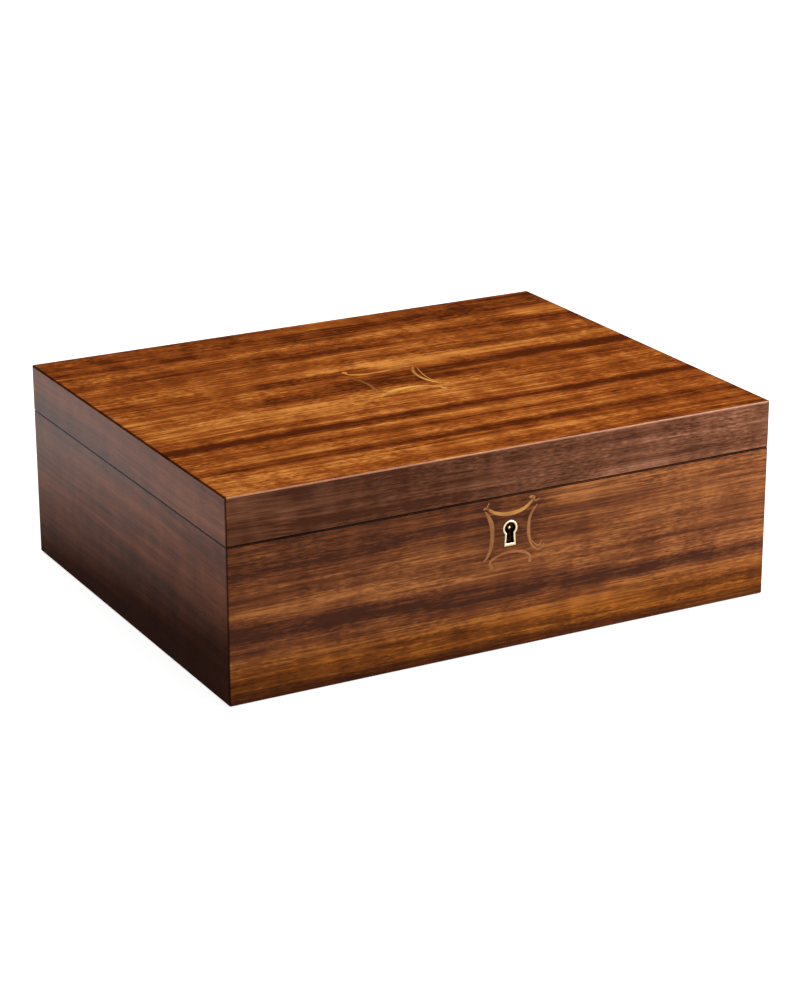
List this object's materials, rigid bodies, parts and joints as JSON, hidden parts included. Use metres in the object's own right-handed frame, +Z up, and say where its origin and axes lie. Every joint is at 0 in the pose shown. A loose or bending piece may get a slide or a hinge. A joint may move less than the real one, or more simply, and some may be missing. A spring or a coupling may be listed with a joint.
{
  "type": "musical jewelry box",
  "caption": "Veneered wooden box with a hinged inlaid lid, lock, lift-out ring tray and, under glass inside, a wind-up cylinder music movement that plays while the lid is open.",
  "frame": {"origin": "middle of the case's footprint, on the surface that the box stands on", "axes": "+Z up, -Y towards the front with the keyhole, +X to the right as seen from the front; the hinges are on the +Y side"},
  "size_m": [0.305, 0.2447, 0.105],
  "materials": {
    "veneered_wood": "satin lacquer",
    "dark_base": "stained",
    "deck_wood": "planed",
    "inlay_wood": "satin lacquer",
    "velvet": "pile",
    "felt": "felt",
    "brass": "polished",
    "steel": "brushed",
    "cast_bed": "lacquered",
    "glass": "clear",
    "mirror": "polished",
    "plastic": "matte",
    "pad_rubber": "matte"
  },
  "bodies": {
    "case": {"front_panel": "veneered_wood", "back_panel": "veneered_wood", "left_panel": "veneered_wood", "right_panel": "veneered_wood", "base_panel": "dark_base", "base_felt": "felt", "base_screws": "steel", "sound_board": "deck_wood", "bay_divider": "veneered_wood", "movement_partition": "veneered_wood", "tray_liners": "velvet", "floor_pads": "velvet", "glass_ledges": "veneered_wood", "movement_glass": "glass", "front_inlay": "inlay_wood", "keyhole_escutcheon": "brass", "lock_plate": "brass", "lock_case": "brass", "drill_pin": "brass", "case_screws": "brass", "hinge_leaves_case": "brass", "hinge_pins": "brass", "movement_bedplate": "cast_bed", "bedplate_screws": "steel", "machine_screws": "steel", "governor_frame": "brass", "comb": "steel"},
    "lid": {"lid_front_rail": "veneered_wood", "lid_back_rail": "veneered_wood", "lid_end_rails": "veneered_wood", "lid_panel": "veneered_wood", "lid_veneer": "veneered_wood", "lid_inlay": "inlay_wood", "lid_lining": "velvet", "mirror_glass": "mirror", "mirror_frame": "veneered_wood", "hinge_leaves_lid": "brass", "lid_screws": "brass", "strike_plate": "brass"},
    "bolt": {"lock_bolt": "brass"},
    "tray": {"tray_frame": "veneered_wood", "tray_floor": "deck_wood", "tray_dividers": "velvet", "tray_pads": "velvet", "ring_rolls": "velvet"},
    "key": {"lock_key": "brass"},
    "stop": {"stop_rod": "steel", "stop_pad": "pad_rubber"},
    "cylinder": {"pinned_cylinder": "brass", "cylinder_arbor": "steel", "cylinder_wheel": "brass"},
    "barrel": {"spring_barrel": "brass", "barrel_cap": "brass", "mainspring": "steel"},
    "first_wheel": {"intermediate_wheel": "brass"},
    "second_wheel": {"worm_wheel": "brass"},
    "governor": {"governor_worm": "steel", "governor_fan": "plastic"},
    "winder": {"winding_arbor": "steel", "winding_key": "brass"}
  },
  "joints": [
    {"name": "lid_hinge", "type": "hinge", "parent": "case", "child": "lid", "pos_m": [0, 0.1223, 0.0802], "axis": [-1, 0, 0], "range_deg": [0, 95]},
    {"name": "bolt_slide", "type": "slide", "parent": "case", "child": "bolt", "axis": [1, 0, 0], "range_m": [0, 0.0045]},
    {"name": "tray_lift", "type": "slide", "parent": "case", "child": "tray", "axis": [0, 0, 1], "range_m": [0, 0.06]},
    {"name": "key_lift", "type": "slide", "parent": "tray", "child": "key", "axis": [0, 0, 1], "range_m": [0, 0.025]},
    {"name": "stop_lift", "type": "slide", "parent": "case", "child": "stop", "axis": [0, 0, 1], "range_m": [0, 0.004]},
    {"name": "governor_spin", "type": "hinge", "parent": "case", "child": "governor", "pos_m": [-0.132, 0.0932, 0.04], "axis": [0, 0, 1], "continuous": true},
    {"name": "cylinder_spin", "type": "hinge", "parent": "case", "child": "cylinder", "pos_m": [-0.116, 0.074, 0.0371], "axis": [-1, 0, 0], "continuous": true},
    {"name": "barrel_spin", "type": "hinge", "parent": "case", "child": "barrel", "pos_m": [-0.091, 0.074, 0.035], "axis": [0, 0, 1], "continuous": true},
    {"name": "first_wheel_spin", "type": "hinge", "parent": "case", "child": "first_wheel", "pos_m": [-0.13, 0.082, 0.04011], "axis": [-1, 0, 0], "continuous": true},
    {"name": "second_wheel_spin", "type": "hinge", "parent": "case", "child": "second_wheel", "pos_m": [-0.13, 0.0876, 0.03701], "axis": [-1, 0, 0], "continuous": true},
    {"name": "winding", "type": "hinge", "parent": "case", "child": "winder", "pos_m": [-0.091, 0.074, 0.01], "axis": [0, 0, -1], "range_deg": [0, 1080]}
  ],
  "couplings": [
    {"joint": "tray_lift", "follows": "lid_hinge", "m_per_rad": 0.036},
    {"joint": "key_lift", "follows": "lid_hinge", "m_per_rad": 0.015},
    {"joint": "stop_lift", "follows": "lid_hinge", "m_per_rad": 0.0024},
    {"joint": "cylinder_spin", "follows": "governor_spin", "ratio": 0.0044444},
    {"joint": "barrel_spin", "follows": "governor_spin", "ratio": 0.0016667},
    {"joint": "first_wheel_spin", "follows": "governor_spin", "ratio": -0.016667},
    {"joint": "second_wheel_spin", "follows": "governor_spin", "ratio": 0.05}
  ]
}
